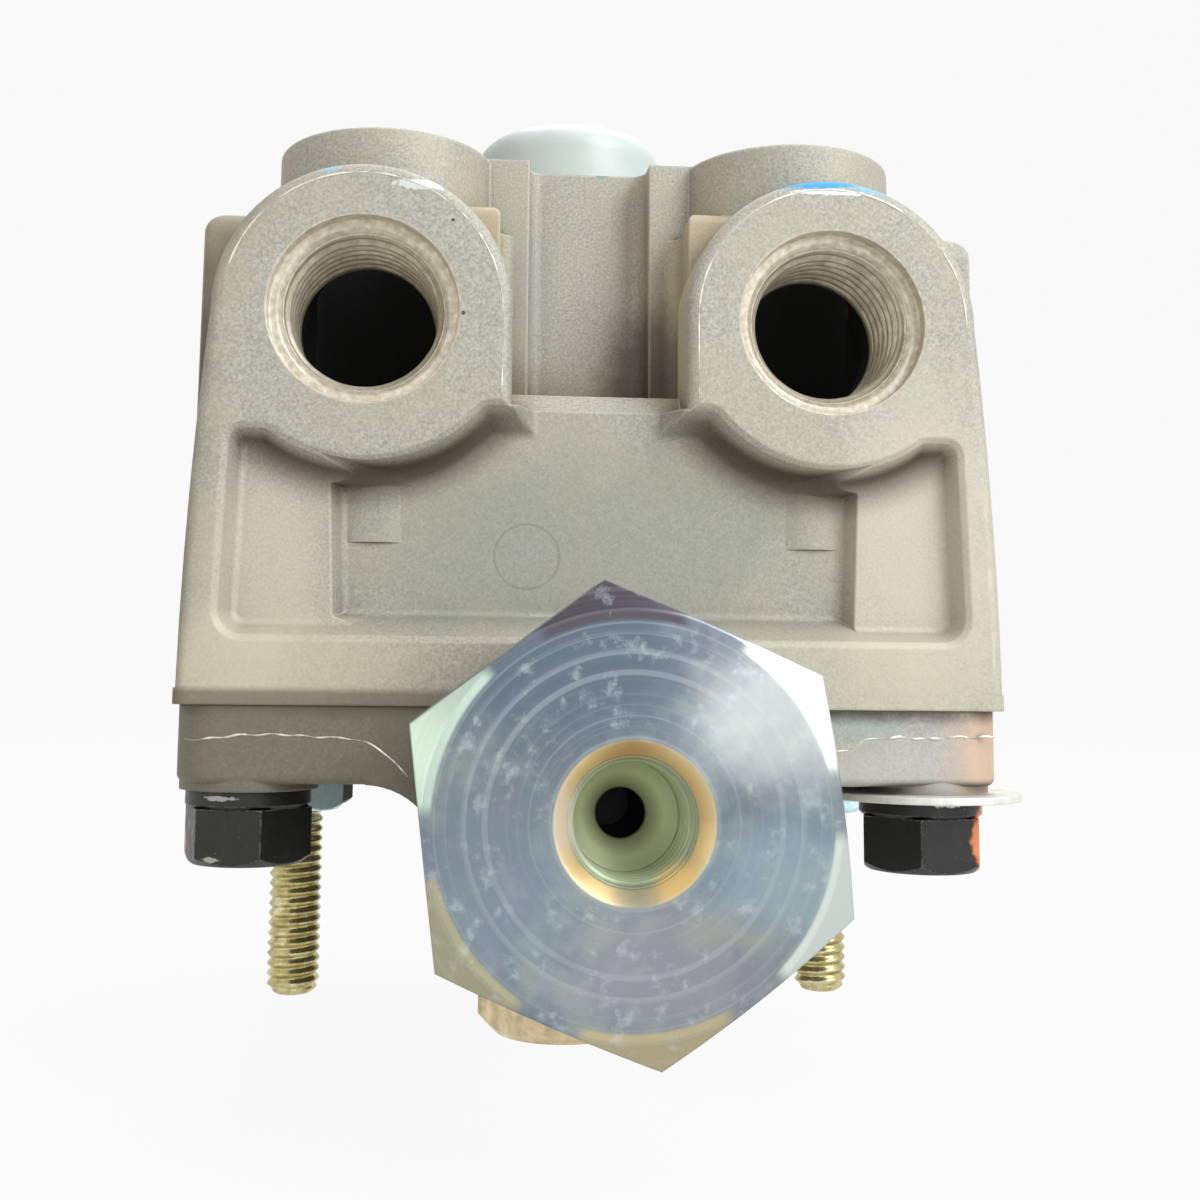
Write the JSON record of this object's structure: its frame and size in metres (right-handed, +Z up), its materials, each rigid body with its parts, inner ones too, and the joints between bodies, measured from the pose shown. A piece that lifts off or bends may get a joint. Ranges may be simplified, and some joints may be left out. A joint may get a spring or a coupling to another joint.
{
  "type": "pneumatic relay valve",
  "caption": "Air brake relay valve: cast body with front, top and rear threaded ports, bolted cover with studs and a hex control fitting, sprung relay valve inside.",
  "frame": {"origin": "on the piston axis, in the cover's underside, midway between the two mounting studs", "axes": "+Z up the piston axis towards the exhaust cap, -Y out of the front delivery ports and the control fitting, +X to the right seen from the front"},
  "size_m": [0.108, 0.141, 0.1414],
  "materials": {
    "cast_body": "shot-blasted die-cast aluminium",
    "cast_cover": "darker die-cast aluminium",
    "seal_rubber": "moulded nitrile rubber",
    "black_steel": "black phosphated steel",
    "dull_zinc": "dull zinc-plated sheet",
    "yellow_zinc": "yellow chromate over zinc",
    "clear_zinc": "clear chromate over zinc",
    "fitting_zinc": "turned steel with bright zinc plating",
    "turned_aluminium": "turned aluminium",
    "spring_steel": "oiled spring steel",
    "cap_plastic": "moulded polyethylene"
  },
  "bodies": {
    "housing": {"valve_body": "cast_body", "cover": "cast_cover", "cover_seal": "seal_rubber", "cover_screws": "black_steel", "lock_washers": "black_steel", "id_tag": "dull_zinc", "mounting_studs": "yellow_zinc", "stud_nuts": "clear_zinc", "control_fitting": "fitting_zinc", "fitting_seal": "seal_rubber", "balance_plug": "yellow_zinc", "spring_seat": "spring_steel", "valve_retainer": "turned_aluminium", "retainer_seal": "seal_rubber", "stem_seal": "seal_rubber", "retaining_ring": "spring_steel", "exhaust_cover": "cap_plastic", "exhaust_diaphragm": "seal_rubber", "valve_spring": "spring_steel"},
    "piston": {"relay_piston": "turned_aluminium", "piston_ring": "seal_rubber"},
    "inlet_valve": {"valve_guide": "turned_aluminium", "valve_face": "seal_rubber"},
    "check": {"check_disc": "seal_rubber"}
  },
  "joints": [
    {"name": "piston_slide", "type": "slide", "parent": "housing", "child": "piston", "axis": [0, 0, 1], "range_m": [0, 0.003]},
    {"name": "valve_slide", "type": "slide", "parent": "housing", "child": "inlet_valve", "axis": [0, 0, 1], "range_m": [0, 0.00204], "stiffness_N_per_m": 1500, "springref_m": -0.004, "deforming": ["valve_spring"]},
    {"name": "check_slide", "type": "slide", "parent": "housing", "child": "check", "axis": [0, 1, 0], "range_m": [0, 0.0012]}
  ],
  "couplings": [
    {"joint": "valve_slide", "follows": "piston_slide", "ratio": 0.68}
  ]
}
